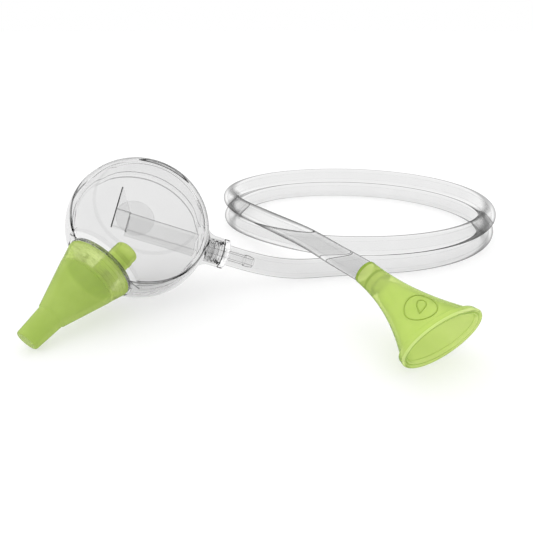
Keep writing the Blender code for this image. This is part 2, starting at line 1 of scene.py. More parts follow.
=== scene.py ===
"""Visual model of the nasal aspirator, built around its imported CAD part, in metres."""
import json
from math import atan2, cos, pi, radians, sin, sqrt

import bmesh
import bpy
from mathutils import Matrix, Vector


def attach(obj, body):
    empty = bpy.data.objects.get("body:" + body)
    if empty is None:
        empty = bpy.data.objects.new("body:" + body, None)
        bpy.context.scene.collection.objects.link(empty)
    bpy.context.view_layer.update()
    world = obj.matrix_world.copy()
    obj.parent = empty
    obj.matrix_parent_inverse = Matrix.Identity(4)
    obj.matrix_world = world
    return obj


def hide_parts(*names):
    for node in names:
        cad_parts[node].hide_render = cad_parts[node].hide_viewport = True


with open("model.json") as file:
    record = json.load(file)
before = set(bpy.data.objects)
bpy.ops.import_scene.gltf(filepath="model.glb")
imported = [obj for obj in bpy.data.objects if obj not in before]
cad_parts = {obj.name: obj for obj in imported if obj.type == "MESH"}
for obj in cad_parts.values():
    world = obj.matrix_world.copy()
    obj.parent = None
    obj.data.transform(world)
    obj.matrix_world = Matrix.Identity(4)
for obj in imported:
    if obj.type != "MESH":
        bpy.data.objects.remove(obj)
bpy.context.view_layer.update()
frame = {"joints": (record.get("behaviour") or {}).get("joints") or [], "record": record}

MM = 0.001
TAU = 2.0 * pi
CLEARANCE = 0.3 * MM

# Axes of the part, from its joints and its one mount
JOINTS = {joint["name"]: joint for joint in frame["joints"]}
NOZZLE_DIR = Vector(JOINTS["nozzle_pull"]["axis"]).normalized()
BALL_DIR = Vector(JOINTS["window_lift"]["axis"]).normalized()
PORT_DIR = Vector(JOINTS["connector_turn"]["axis"]).normalized()
MOUTH_DIR = Vector(JOINTS["mouthpiece_twist"]["axis"]).normalized()
MOUTH_NECK = Vector(JOINTS["mouthpiece_twist"]["pos_m"])
SIDE_DIR = BALL_DIR.cross(NOZZLE_DIR)

# Hose; every bore here and below is a radius
HOSE_DIAMETER = 7.5 * MM
HOSE_BORE = 1.9 * MM
HOSE_SIDES = 48
HOSE_STEP = 1.3 * MM

# Ball
BALL_RADIUS = 24.5 * MM
BALL_WALL = 1.7 * MM
BALL_INNER = BALL_RADIUS - BALL_WALL
WINDOW_HEIGHT = 17.8 * MM
SEAM_HEIGHT = 7.2 * MM
SEAM_GROOVE = 0.35 * MM
SKIRT_OUTER = 22.95 * MM
SKIRT_INNER = 21.6 * MM
RIM_INNER = SKIRT_OUTER + CLEARANCE
BALL_STEPS = 144
BALL_CENTRE = Vector(frame["record"]["mounts"][0]["pos_m"]) - WINDOW_HEIGHT * BALL_DIR

# Nozzle and its socket, from the ball's centre along the nozzle's axis
SOCKET_FLOOR = 19.6 * MM
SOCKET_RADIUS = 12.7 * MM
SOCKET_PLATE = 1.8 * MM
NECK_END = 25.6 * MM
NECK_OUTER = 8.2 * MM
NECK_INNER = 7.2 * MM
NOZZLE_BASE = 21.0 * MM
NOZZLE_FLOOR = 27.4 * MM
NOZZLE_STEP = 43.0 * MM
NOZZLE_TIP = 53.6 * MM
NOZZLE_BASE_RADIUS = 12.1 * MM
NOZZLE_FLOOR_RADIUS = 10.2 * MM
NOZZLE_STEP_RADIUS = 4.95 * MM
NOZZLE_NECK_RADIUS = 4.55 * MM
NOZZLE_TIP_RADIUS = 3.8 * MM
NOZZLE_WALL = 1.3 * MM
NOZZLE_BORE = 2.4 * MM
SPIGOT_OFFSET = 2.6 * MM
SPIGOT_START = 9.3 * MM
SPIGOT_RADIUS = 4.2 * MM
SPIGOT_BORE = 2.9 * MM

# Port and connector, from the ball's centre along the port's axis
COLLAR_END = 30.3 * MM
COLLAR_OUTER = 5.45 * MM
COLLAR_ROOT = 7.6 * MM
COLLAR_BORE = 4.4 * MM
COLLAR_FLOOR = 24.6 * MM
PORT_HOLE = 2.6 * MM
FLANGE_LOW = COLLAR_END + CLEARANCE
FLANGE_HIGH = FLANGE_LOW + 1.9 * MM
PLUG_RADIUS = 3.55 * MM
THREAD_RADIUS = 4.05 * MM
STUB_RADIUS = 1.75 * MM
BARB_RADIUS = 2.1 * MM
BARB_END = 43.4 * MM
BARB_LENGTH = 3.4 * MM
CONNECTOR_BORE = 1.1 * MM
PLUG_LOW = COLLAR_FLOOR + CLEARANCE
GROOVE_LOW = PLUG_LOW + 0.7 * MM
GROOVE_HIGH = GROOVE_LOW + 1.7 * MM
GROOVE_RADIUS = PLUG_RADIUS - 0.75 * MM
O_RING_RADIUS = 0.6 * MM
GRIPS = 12
GRIP_RADIUS = 0.7 * MM

# Air duct, in the frame with X along the port's axis and Z towards the window
DUCT_HALF_WIDTH = 3.4 * MM
DUCT_HALF_DEPTH = 2.6 * MM
DUCT_WALL = 0.9 * MM
DUCT_INNER_END = -4.2 * MM
DUCT_OUTER_END = 21.0 * MM
BAFFLE_P = -9.4 * MM
BAFFLE_TOP = 13.6 * MM
BAFFLE_BOTTOM = -3.9 * MM
DISC_RADIUS = 6.6 * MM
DISC_THICKNESS = 0.9 * MM
DISC_PLACE = Vector((-2.3, 1.6, 0.0)) * MM

# Mouthpiece, from the neck's end along its own axis
MOUTH_LENGTH = 33.7 * MM
MOUTH_HALF_WIDTH = 17.2 * MM
MOUTH_HALF_DEPTH = 9.05 * MM
MOUTH_NECK_RADIUS = 4.05 * MM
MOUTH_WALL = 1.3 * MM
MOUTH_BORE = 2.5 * MM
SOCKET_DEPTH = 7.2 * MM
LIP_LENGTH = 2.4 * MM
MARK_LONG = 5.96 * MM
MARK_SHORT = 4.29 * MM
MARK_BEAD = 0.16 * MM
MARK_PLACE = Vector((-3.38, 24.88)) * MM
MARK_TURN = radians(143.4)

# Layout of the hose, in hose diameters: out of the connector, up from the lower turn to the
# upper one, and over the hose to the mouthpiece
LAYOUT_SHIFT = Vector((0.775, 5.277, 0.0))
TURN_CENTRE = Vector((5.10, 6.33, 0.0))
TURN_HALF_WIDTH = 8.50
TURN_HALF_LENGTH = 7.29
LOWER_TURN_HEIGHT = 0.52
UPPER_TURN_HEIGHT = 1.55
LEAD_OUT = ((0.55, -1.90, 0.74), (1.72, -1.60, 0.53), (3.30, -1.22, 0.52))
CLIMB = ((0.26, 12.23, 0.52), (-0.57, 11.48, 0.52), (-1.33, 10.51, 0.52), (-1.93, 9.29, 0.52),
         (-2.27, 8.06, 0.52), (-2.26, 6.87, 0.52), (-1.93, 5.87, 0.54), (-1.43, 4.94, 0.61),
         (-0.87, 3.93, 0.74), (-0.30, 2.99, 0.88), (0.51, 1.83, 1.07), (1.48, 0.39, 1.37),
         (2.44, -0.57, 1.52), (3.58, -0.88, 1.55))
CROSSING = ((0.26, 12.33, 1.55), (-1.59, 10.54, 1.55), (-2.39, 8.32, 1.57), (-1.88, 5.87, 1.66),
            (-0.40, 2.82, 1.92), (0.92, -0.40, 2.38), (2.15, -3.04, 2.66), (3.39, -5.21, 2.56))

# Camera, looking along +Y and down
CAMERA_TARGET = Vector((5.81, 39.58, 0.0)) * MM
CAMERA_DISTANCE = 228.1 * MM
CAMERA_TILT = radians(23.52)
CAMERA_LENS = 38.0
SENSOR_WIDTH = 36.0


# ---------------------------------------------------------------- shapes

def frame_from_axes(x_axis, z_axis, origin):
    y_axis = z_axis.cross(x_axis)
    rotation = Matrix((x_axis, y_axis, z_axis)).transposed()
    return Matrix.Translation(origin) @ rotation.to_4x4()


BALL_FRAME = frame_from_axes(NOZZLE_DIR, BALL_DIR, BALL_CENTRE)
NOZZLE_FRAME = frame_from_axes(SIDE_DIR, NOZZLE_DIR, BALL_CENTRE)
SPIGOT_FRAME = NOZZLE_FRAME @ Matrix.Translation((SPIGOT_OFFSET, 0.0, 0.0))
PORT_FRAME = frame_from_axes(BALL_DIR.cross(PORT_DIR), PORT_DIR, BALL_CENTRE)
DUCT_FRAME = frame_from_axes(PORT_DIR, BALL_DIR, BALL_CENTRE)
MOUTH_WIDE = Vector((-MOUTH_DIR.y, MOUTH_DIR.x, 0.0)).normalized()
MOUTH_FRAME = frame_from_axes(MOUTH_WIDE, MOUTH_DIR, MOUTH_NECK)


def arc(radius, start, end, centre=(0.0, 0.0), step=2.5):
    """Points of a circular arc in degrees from the Z axis, as (radius, height) pairs."""
    count = max(2, round(abs(end - start) / step))
    points = []
    for index in range(count + 1):
        angle = radians(start + (end - start) * index / count)
        points.append((centre[0] + radius * sin(angle), centre[1] + radius * cos(angle)))
    return points


def polar_angle(radius, height):
    """Angle from the Z axis, in degrees, of a sphere's points at a height."""
    return 90.0 - atan2(height, sqrt(radius * radius - height * height)) * 180.0 / pi


def softened(corners, steps=4):
    """Outline of (x, y, fillet radius) corners with each corner turned into an arc."""
    points = []
    count = len(corners)
    for index in range(count):
        x, y, radius = corners[index]
        corner = Vector((x, y))
        if radius == 0.0:
            points.append((x, y))
            continue
        before = Vector(corners[index - 1][:2]) - corner
        after = Vector(corners[(index + 1) % count][:2]) - corner
        half = before.angle(after) / 2.0
        reach = min(radius / abs(sin(half) / cos(half)), 0.49 * before.length, 0.49 * after.length)
        first = corner + before.normalized() * reach
        last = corner + after.normalized() * reach
        for step in range(steps + 1):
            share = step / steps
            near = first.lerp(corner, share)
            far = corner.lerp(last, share)
            points.append(tuple(near.lerp(far, share)))
    return points


def add_object(name, mesh, matrix=None):
    item = bpy.data.objects.new(name, mesh)
    bpy.context.scene.collection.objects.link(item)
    if matrix is not None:
        mesh.transform(matrix)
    return item


def mesh_from(name, shape, sharp=35.0):
    """Smooth-shaded mesh of a closed shape, with sharp edges above an angle in degrees."""
    bmesh.ops.remove_doubles(shape, verts=shape.verts, dist=0.0000005)
    bmesh.ops.recalc_face_normals(shape, faces=shape.faces)
    if shape.calc_volume(signed=True) < 0.0:
        bmesh.ops.reverse_faces(shape, faces=shape.faces)
    mesh = bpy.data.meshes.new(name)
    shape.to_mesh(mesh)
    shape.free()
    mesh.shade_smooth()
    mesh.set_sharp_from_angle(angle=radians(sharp))
    return mesh


def join_rings(shape, ring, following, material=0):
    """Faces between two rings, either of which may be a single point on the axis."""
    if len(ring) == 1 and len(following) == 1:
        return
    count = max(len(ring), len(following))
    for step in range(count):
        after = (step + 1) % count
        corners = [ring[step % len(ring)], ring[after % len(ring)],
                   following[after % len(following)], following[step % len(following)]]
        distinct = []
        for corner in corners:
            if corner not in distinct:
                distinct.append(corner)
        shape.faces.new(distinct).material_index = material


def turned(name, profile, matrix, steps=96, sharp=35.0):
    """Closed body of revolution about the frame's Z axis from a closed (radius, height) loop."""
    shape = bmesh.new()
    rings = []
    for radius, height in profile:
        if radius < 0.0000001:
            rings.append([shape.verts.new((0.0, 0.0, height))])
            continue
        ring = []
        for step in range(steps):
            angle = TAU * step / steps
            ring.append(shape.verts.new((radius * cos(angle), radius * sin(angle), height)))
        rings.append(ring)
    for ring, following in zip(rings, rings[1:] + rings[:1]):
        join_rings(shape, ring, following)
    return add_object(name, mesh_from(name, shape, sharp), matrix)


def cylinder(name, radius, bottom, top, matrix, steps=96):
    profile = [(0.0, top), (radius, top), (radius, bottom), (0.0, bottom)]
    return turned(name, profile, matrix, steps)


def block(name, low, high, matrix, bevel=0.0):
    shape = bmesh.new()
    bmesh.ops.create_cube(shape, size=1.0)
    size = [upper - lower for lower, upper in zip(low, high)]
    middle = [(upper + lower) / 2.0 for lower, upper in zip(low, high)]
    bmesh.ops.scale(shape, vec=size, verts=shape.verts)
    bmesh.ops.translate(shape, vec=middle, verts=shape.verts)
    if bevel:
        bmesh.ops.bevel(shape, geom=shape.edges, offset=bevel, segments=3, affect="EDGES",
                        profile=0.5)
    return add_object(name, mesh_from(name, shape), matrix)


def combined(item, *steps, sharp=35.0):
    """Apply Booleans in turn, each an (operation, tool) pair, and drop the tools."""
    for operation, tool in steps:
        modifier = item.modifiers.new("cut", "BOOLEAN")
        modifier.operation = operation
        modifier.solver = "EXACT"
        modifier.object = tool
    graph = bpy.context.evaluated_depsgraph_get()
    mesh = bpy.data.meshes.new_from_object(item.evaluated_get(graph))
    item.modifiers.clear()
    item.data = mesh
    for _, tool in steps:
        bpy.data.objects.remove(tool)
    mesh.shade_smooth()
    mesh.set_sharp_from_angle(angle=radians(sharp))


# ---------------------------------------------------------------- materials

def new_material(name):
    material = bpy.data.materials.new(name)
    material.use_nodes = True
    return material, material.node_tree, material.node_tree.nodes["Principled BSDF"]


def grey(value):
    return (value, value, value)


def add_noise(tree, place, scale, detail):
    noise = tree.nodes.new("ShaderNodeTexNoise")
    noise.inputs["Scale"].default_value = scale
    noise.inputs["Detail"].default_value = detail
    tree.links.new(place.outputs["Object"], noise.inputs["Vector"])
    return noise.outputs["Fac"]


def add_variation(tree, shader, low, high, scale):
    """Slow, faint change of colour through a moulding."""
    place = tree.nodes.new("ShaderNodeTexCoord")
    ramp = tree.nodes.new("ShaderNodeValToRGB")
    for stop, position, colour in zip(ramp.color_ramp.elements, (0.3, 0.7), (low, high)):
        stop.position = position
        stop.color = (*colour, 1.0)
    tree.links.new(add_noise(tree, place, scale, 3.0), ramp.inputs["Fac"])
    tree.links.new(ramp.outputs["Color"], shader.inputs["Base Color"])
    return place


def add_ripple(tree, shader, place, scale, distance):
    """Shallow waviness of a moulded or drawn surface."""
    bump = tree.nodes.new("ShaderNodeBump")
    bump.inputs["Strength"].default_value = 0.25
    bump.inputs["Distance"].default_value = distance
    tree.links.new(add_noise(tree, place, scale, 2.0), bump.inputs["Height"])
    tree.links.new(bump.outputs["Normal"], shader.inputs["Normal"])


def add_roughness(tree, shader, place, low, high, scale):
    spread = tree.nodes.new("ShaderNodeMapRange")
    spread.inputs["To Min"].default_value = low
    spread.inputs["To Max"].default_value = high
    tree.links.new(add_noise(tree, place, scale, 4.0), spread.inputs["Value"])
    tree.links.new(spread.outputs["Result"], shader.inputs["Roughness"])


def length_along(tree, vector, direction):
    node = tree.nodes.new("ShaderNodeVectorMath")
    node.operation = "DOT_PRODUCT"
    node.inputs[1].default_value = direction
    tree.links.new(vector, node.inputs[0])
    return node.outputs["Value"]


def multiply_add(tree, source, factor, offset):
    """source * factor + offset, kept between 0 and 1."""
    node = tree.nodes.new("ShaderNodeMath")
    node.operation = "MULTIPLY_ADD"
    node.use_clamp = True
    node.inputs[1].default_value = factor
    node.inputs[2].default_value = offset
    tree.links.new(source, node.inputs[0])
    return node.outputs["Value"]


def darken(tree, shader, amount, colour):
    """Mix the shader's base colour towards a colour by an amount."""
    mix = tree.nodes.new("ShaderNodeMix")
    mix.data_type = "RGBA"
    tree.links.new(shader.inputs["Base Color"].links[0].from_socket, mix.inputs["A"])
    mix.inputs["B"].default_value = (*colour, 1.0)
    tree.links.new(amount, mix.inputs["Factor"])
    tree.links.new(mix.outputs["Result"], shader.inputs["Base Color"])


def product(tree, first, second):
    node = tree.nodes.new("ShaderNodeMath")
    node.operation = "MULTIPLY"
    tree.links.new(first, node.inputs[0])
    tree.links.new(second, node.inputs[1])
    return node.outputs["Value"]


def add_edge_tint_and_reflection(tree, shader, colour, start, full, share, side=None):
    """Darker tint where the wall is seen at a slant: in part the longer path through tinted plastic,
    in part a painted reflection of dark surroundings.

    It sets in at a facing of start and reaches its share at full. A side, such as the one for the
    clear shells, keeps it to the walls that face that way, as painted shade on that side.
    """
    slant = tree.nodes.new("ShaderNodeLayerWeight")
    slant.inputs["Blend"].default_value = 0.5
    width = full - start
    amount = multiply_add(tree, slant.outputs["Facing"], 1.0 / width, -start / width)
    weight = multiply_add(tree, amount, share, 0.0)
    if side:
        direction, gain, offset = side
        place = tree.nodes.new("ShaderNodeNewGeometry")
        cosine = length_along(tree, place.outputs["Normal"], Vector(direction).normalized())
        weight = product(tree, weight, multiply_add(tree, cosine, gain, offset))
    darken(tree, shader, weight, colour)


def near_plane(tree, place, axis, height, half_width):
    """1 on the plane square to an axis at a height from the ball's centre, 0 further off."""
    offset = tree.nodes.new("ShaderNodeMath")
    offset.operation = "SUBTRACT"
    offset.inputs[1].default_value = BALL_CENTRE.dot(axis) + height
    tree.links.new(length_along(tree, place.outputs["Object"], axis), offset.inputs[0])
    distance = tree.nodes.new("ShaderNodeMath")
    distance.operation = "ABSOLUTE"
    tree.links.new(offset.outputs["Value"], distance.inputs[0])
    return multiply_add(tree, distance.outputs["Value"], -2.0 / half_width, 2.0)


def add_line(tree, shader, place, share, colour, *planes):
    """Dark line where every one of the (axis, height, half width) planes is near.

    On the clear parts it is painted shade.
    """
    amount = None
    for axis, height, half_width in planes:
        near = near_plane(tree, place, axis, height, half_width)
        amount = product(tree, amount, near) if amount else near
    darken(tree, shader, multiply_add(tree, amount, share, 0.0), colour)


# Sides as (direction, gain, offset): a tint is scaled by the cosine of the normal to the fixed
# direction, times the gain, plus the offset. Both paint shade: the first on the clear shells' walls
# that face right and up, the second along the hose's upper outline. The ridge faces up and a little
# back, square to the camera's line of sight, so from other sides the hose has less of it.
PAINTED_SHADE_SIDE = ((0.6, 0.2, 0.77), 0.8, 0.2)
PAINTED_RIDGE_SHADE = ((0.0, 0.4, 0.917), 4.0, -3.0)


def clear_plastic(name, low, high, ior, roughness=(0.0, 0.01), edge=(0.1, 0.6, 0.9, 0.8),
                  side=None, lines=(), pale=None, ridge=None):
    """Clear moulding whose colour wanders from low to high.

    edge, pale and ridge are tints at a slant: a grey, where it sets in, where it is full and its
    share. The edge darkens, in part as a painted reflection, pale is a painted highlight and the
    ridge is painted shade along the top. The edge is kept to a side if there is one, as painted
    shade, and the ridge to the fixed upward direction set above. Each of the lines is a share and
    the planes that it lies on, painted shade in near black.
    """
    material, tree, shader = new_material(name)
    shader.inputs["Transmission Weight"].default_value = 1.0
    shader.inputs["IOR"].default_value = ior
    place = add_variation(tree, shader, low, high, 90.0)
    # Painted shade: near-black lines.
    for share, *planes in lines:
        add_line(tree, shader, place, share, grey(0.04), *planes)
    # Painted highlight band, the slant tint that is in part painted reflection, and painted shade
    # along the top.
    if pale:
        add_edge_tint_and_reflection(tree, shader, grey(pale[0]), *pale[1:])
    add_edge_tint_and_reflection(tree, shader, grey(edge[0]), *edge[1:], side)
    if ridge:
        add_edge_tint_and_reflection(tree, shader, grey(ridge[0]), *ridge[1:], PAINTED_RIDGE_SHADE)
    add_roughness(tree, shader, place, *roughness, 300.0)
    return material


def green_plastic(name, low, high, deep, transmission, roughness, share=0.6, lines=()):
    """Translucent moulding, deep in colour where it is seen at a slant and at its lines."""
    material, tree, shader = new_material(name)
    shader.inputs["Transmission Weight"].default_value = transmission
    shader.inputs["IOR"].default_value = 1.07
    place = add_variation(tree, shader, low, high, 110.0)
    for amount, *planes in lines:
        add_line(tree, shader, place, amount, deep, *planes)
    add_edge_tint_and_reflection(tree, shader, deep, 0.5, 0.9, share)
    add_ripple(tree, shader, place, 180.0, 0.03 * MM)
    add_roughness(tree, shader, place, *roughness, 350.0)
    return material


def soft_rubber(name, low, high):
    """Milky rubber of the seals."""
    material, tree, shader = new_material(name)
    shader.inputs["Transmission Weight"].default_value = 0.95
    shader.inputs["IOR"].default_value = 1.2
    place = add_variation(tree, shader, low, high, 400.0)
    add_ripple(tree, shader, place, 900.0, 0.02 * MM)
    add_roughness(tree, shader, place, 0.1, 0.25, 500.0)
    return material


# Dark lines as (share, planes), where a plane is (axis, height from the ball's centre, half width).
# On the clear parts they are painted shade in near black: along the duct's edges and baffle, either
# side of the ball's seam, at the window's rim, at the foot of its skirt and inside the bowl, both
# on the half away from the nozzle. MOUTH_LINES deepens the green in a ring around the mouthpiece's
# neck.
DUCT_UP = BALL_DIR.cross(PORT_DIR)
DUCT_LINES = [(1.0, (PORT_DIR, BAFFLE_P, 0.55 * MM)),
              (0.65, (DUCT_UP, DUCT_HALF_WIDTH, 0.4 * MM), (BALL_DIR, DUCT_HALF_DEPTH, 0.4 * MM)),
              (0.25, (DUCT_UP, -DUCT_HALF_WIDTH, 0.45 * MM), (BALL_DIR, DUCT_HALF_DEPTH, 0.45 * MM)),
              (0.8, (PORT_DIR, DUCT_INNER_END, 0.4 * MM),
               (BALL_DIR, DUCT_HALF_DEPTH - DUCT_WALL, 0.4 * MM))]
FAR_HALF = (NOZZLE_DIR, -20.0 * MM, 19.0 * MM)
BOWL_LINES = [(0.8, (BALL_DIR, SEAM_HEIGHT - SEAM_GROOVE - 0.2 * MM, 0.35 * MM))]
WINDOW_LINES = [(0.8, (BALL_DIR, SEAM_HEIGHT + 0.2 * MM, 0.35 * MM)),
                (0.7, (BALL_DIR, 0.6 * MM, 0.4 * MM), FAR_HALF),
                (0.15, (BALL_DIR, WINDOW_HEIGHT - 0.6 * MM, 0.5 * MM))]
INSIDE_LINES = [(0.75, (BALL_DIR, -3.0 * MM, 0.45 * MM), FAR_HALF)]
SOCKET_MARK = (MOUTH_NECK + 5.0 * MM * MOUTH_DIR - BALL_CENTRE).dot(MOUTH_DIR)
MOUTH_LINES = [(0.4, (MOUTH_DIR, SOCKET_MARK, 0.6 * MM))]

# The shells' slant tint is in part a painted reflection, and their side paints shade on walls facing
# right and up.
CLEAR_SHELL = clear_plastic("clear_shell", grey(0.75), grey(0.765), 1.03,
                            edge=(0.1, 0.78, 0.95, 0.7), side=PAINTED_SHADE_SIDE, lines=BOWL_LINES)
CLEAR_WINDOW = clear_plastic("clear_window", grey(0.755), grey(0.77), 1.03,
                             edge=(0.01, 0.72, 0.86, 0.97), side=PAINTED_SHADE_SIDE, lines=WINDOW_LINES)
SHELL_INSIDE = clear_plastic("shell_inside", grey(0.955), grey(0.965), 1.03,
                             edge=(0.3, 0.8, 0.98, 0.5), side=PAINTED_SHADE_SIDE, lines=INSIDE_LINES)
# Near black: painted shade in the ball's seam groove and at the window skirt's end.
SHELL_PAINTED_SHADE = clear_plastic("shell_painted_shade", grey(0.10), grey(0.14), 1.04)
CLEAR_DUCT = clear_plastic("clear_duct", grey(0.92), grey(0.94), 1.06, roughness=(0.0, 0.02),
                           edge=(0.05, 0.5, 0.9, 0.8), lines=DUCT_LINES)
SOFT_DISC = clear_plastic("soft_disc", grey(0.88), grey(0.90), 1.03, roughness=(0.05, 0.1),
                          edge=(0.3, 0.5, 0.8, 0.8))
CLEAR_CONNECTOR = clear_plastic("clear_connector", grey(0.94), grey(0.96), 1.04,
                                roughness=(0.0, 0.02), edge=(0.0, 0.5, 0.7, 1.0))
# The hose's pale band is a painted highlight and its ridge is painted shade along its top outline.
CLEAR_HOSE = clear_plastic("clear_hose", grey(0.775), grey(0.79), 1.01, roughness=(0.0, 0.02),
                           edge=(0.15, 0.73, 0.86, 0.75), pale=(0.95, 0.45, 0.62, 0.6),
                           ridge=(0.0, 0.60, 0.70, 1.0))
HOSE_INSIDE = clear_plastic("hose_inside", grey(0.98), grey(0.985), 1.0, roughness=(0.0, 0.02),
                            edge=(0.4, 0.6, 0.9, 0.25))
SEAL_GREY = soft_rubber("seal_grey", grey(0.74), grey(0.80))
RING_GREY = soft_rubber("ring_grey", grey(0.84), grey(0.90))
GREEN_NOZZLE = green_plastic("green_nozzle", (0.46, 0.60, 0.15), (0.51, 0.65, 0.18),
                             (0.34, 0.48, 0.07), 0.5, (0.02, 0.08), 0.35)
# Paler copies of the nozzle's green, painted light: along the skirt, on the spigot and inside.
GREEN_SKIRT_PAINTED_LIGHT = green_plastic("green_skirt_painted_light", (0.56, 0.71, 0.18), (0.66, 0.79, 0.28),
                            (0.40, 0.54, 0.09), 0.6, (0.02, 0.08), 0.3)
GREEN_SPIGOT_PAINTED_LIGHT = green_plastic("green_spigot_painted_light", (0.72, 0.89, 0.24), (0.77, 0.92, 0.28),
                             (0.55, 0.72, 0.14), 0.45, (0.02, 0.08), 0.3)
NOZZLE_INSIDE_PAINTED_LIGHT = green_plastic("nozzle_inside_painted_light", (0.86, 0.93, 0.60), (0.88, 0.94, 0.64),
                              (0.60, 0.75, 0.20), 0.9, (0.02, 0.08), 0.3)
GREEN_MARK = green_plastic("green_mark", (0.38, 0.50, 0.10), (0.42, 0.54, 0.12),
                           (0.28, 0.40, 0.06), 0.3, (0.1, 0.2))
GREEN_MOUTH = green_plastic("green_mouthpiece", (0.67, 0.80, 0.27), (0.72, 0.84, 0.31),
                            (0.27, 0.42, 0.05), 0.65, (0.03, 0.08), 0.9, MOUTH_LINES)
# A darker green for painted shade and a paler one for the lip's painted highlight.
GREEN_SHADE = green_plastic("green_shade", (0.30, 0.44, 0.06), (0.34, 0.48, 0.08),
                           (0.22, 0.36, 0.04), 0.5, (0.03, 0.08))
GREEN_LIP_HIGHLIGHT = green_plastic("green_lip_highlight", (0.74, 0.86, 0.36), (0.79, 0.89, 0.41),
                          (0.45, 0.60, 0.12), 0.5, (0.03, 0.08), 0.6)


def paint_faces(item, index, chosen):
    """Give a material index to the faces for which chosen(centre, normal) is true."""
    for face in item.data.polygons:
        if chosen(face.center, face.normal):
            face.material_index = index


def finish_piece(item, material, body, node, slot_name, *others):
    """Give a piece its materials and its body, and hide the CAD node that it stands for. Its slot
    name is not used.
    """
    for each in (material, *others):
        item.data.materials.append(each)
    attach(item, body)
    if node:
        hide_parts(node)


# ---------------------------------------------------------------- camera

def add_camera():
    data = bpy.data.cameras.new("camera")
    data.lens = CAMERA_LENS
    data.sensor_width = SENSOR_WIDTH
    data.clip_start = 0.005
    data.clip_end = 20.0
    camera = bpy.data.objects.new("camera", data)
    bpy.context.scene.collection.objects.link(camera)
    back = Vector((0.0, -cos(CAMERA_TILT), sin(CAMERA_TILT)))
    camera.location = CAMERA_TARGET + CAMERA_DISTANCE * back
    camera.rotation_euler = (pi / 2.0 - CAMERA_TILT, 0.0, 0.0)
    bpy.context.scene.camera = camera


add_camera()


# ---------------------------------------------------------------- hose

def layout_point(point):
    return (Vector(point) + LAYOUT_SHIFT) * HOSE_DIAMETER


def turn_point(degrees, height):
    angle = radians(degrees)
    across = TURN_HALF_WIDTH * cos(angle)
    along = TURN_HALF_LENGTH * sin(angle)
    return layout_point(TURN_CENTRE + Vector((across, along, height)))


def hose_route():
    """Points of the route in metres, from the connector's flange into the mouthpiece."""
    starts = (FLANGE_HIGH + 0.2 * MM, BARB_END - 3.5 * MM, BARB_END + 2.0 * MM)
    points = [BALL_CENTRE + PORT_DIR * run for run in starts]
    points += [layout_point(point) for point in LEAD_OUT]
    points += [turn_point(angle, LOWER_TURN_HEIGHT) for angle in range(-88, 117, 12)]
    points += [layout_point(point) for point in CLIMB]
    points += [turn_point(angle, UPPER_TURN_HEIGHT) for angle in range(-92, 116, 12)]
    points += [layout_point(point) for point in CROSSING]
    ends = (-3.0 * MM, 0.5 * MM, SOCKET_DEPTH - 0.4 * MM)
    points += [MOUTH_NECK + MOUTH_DIR * run for run in ends]
    return points


def smooth_path(points, pieces=10):
    """Centripetal Catmull-Rom curve through the points."""
    ends = [2.0 * points[0] - points[1]] + points + [2.0 * points[-1] - points[-2]]
    path = []
    for before, start, end, after in zip(ends, ends[1:], ends[2:], ends[3:]):
        knots = [0.0]
        for first, second in ((before, start), (start, end), (end, after)):
            knots.append(knots[-1] + sqrt((second - first).length))
        for piece in range(pieces):
            value = knots[1] + (knots[2] - knots[1]) * piece / pieces
            outer = (value - knots[0]) / (knots[1] - knots[0])
            middle = (value - knots[1]) / (knots[2] - knots[1])
            last = (value - knots[2]) / (knots[3] - knots[2])
            early = before.lerp(start, outer).lerp(start.lerp(end, middle),
                                                   (value - knots[0]) / (knots[2] - knots[0]))
            late = start.lerp(end, middle).lerp(end.lerp(after, last),
                                                (value - knots[1]) / (knots[3] - knots[1]))
            path.append(early.lerp(late, middle))
    path.append(points[-1])
    return path


def path_length(path):
    return sum((second - first).length for first, second in zip(path, path[1:]))


def evenly_spaced(path, spacing):
    total = path_length(path)
    count = round(total / spacing)
    points = []
    index = 0
    travelled = 0.0
    for step in range(count + 1):
        target = total * step / count
        length = (path[index + 1] - path[index]).length
        while index < len(path) - 2 and travelled + length < target:
            travelled += length
            index += 1
            length = (path[index + 1] - path[index]).length
        points.append(path[index].lerp(path[index + 1], (target - travelled) / length))
    return points


def relaxed(path, rounds=45, held=6):
    """Even out small wiggles, with the straight ends held."""
    points = list(path)
    for _ in range(rounds):
        moved = list(points)
        for index in range(held, len(points) - held):
            middle = (points[index - 1] + points[index + 1]) / 2.0
            moved[index] = points[index].lerp(middle, 0.5)
        points = moved
    return points


def build_hose():
    """Tube swept along the route without twist, its bore a little wider over the barb."""
    path = relaxed(evenly_spaced(smooth_path(hose_route()), HOSE_STEP))
    shape = bmesh.new()
    outer = []
    inner = []
    side = BALL_DIR.cross(PORT_DIR)
    outer_radius = HOSE_DIAMETER / 2.0
    travelled = 0.0
    for index, point in enumerate(path):
        before = path[max(index - 1, 0)]
        after = path[min(index + 1, len(path) - 1)]
        ahead = (after - before).normalized()
        side = (side - ahead * side.dot(ahead)).normalized()
        up = ahead.cross(side)
        left_of_barb = BARB_END + 1.5 * MM - FLANGE_HIGH - travelled
        over_barb = max(0.0, min(1.0, left_of_barb / (2.0 * MM)))
        bore = HOSE_BORE + over_barb * (BARB_RADIUS + 0.05 * MM - HOSE_BORE)
        rings = []
        for radius in (outer_radius, bore):
            ring = []
            for step in range(HOSE_SIDES):
                angle = TAU * step / HOSE_SIDES
                reach = radius * (cos(angle) * side + sin(angle) * up)
                ring.append(shape.verts.new(point + reach))
            rings.append(ring)
        outer.append(rings[0])
        inner.append(rings[1])
        travelled += (after - point).length
    for material, skin in enumerate((outer, inner)):
        for ring, following in zip(skin, skin[1:]):
            join_rings(shape, ring, following, material)
    join_rings(shape, outer[0], inner[0])
    join_rings(shape, outer[-1], inner[-1])
    hose = add_object("hose", mesh_from("hose", shape, 50.0))
    finish_piece(hose, CLEAR_HOSE, "ball", "air_hose", "clear_hose", HOSE_INSIDE)


build_hose()


# ---------------------------------------------------------------- ball

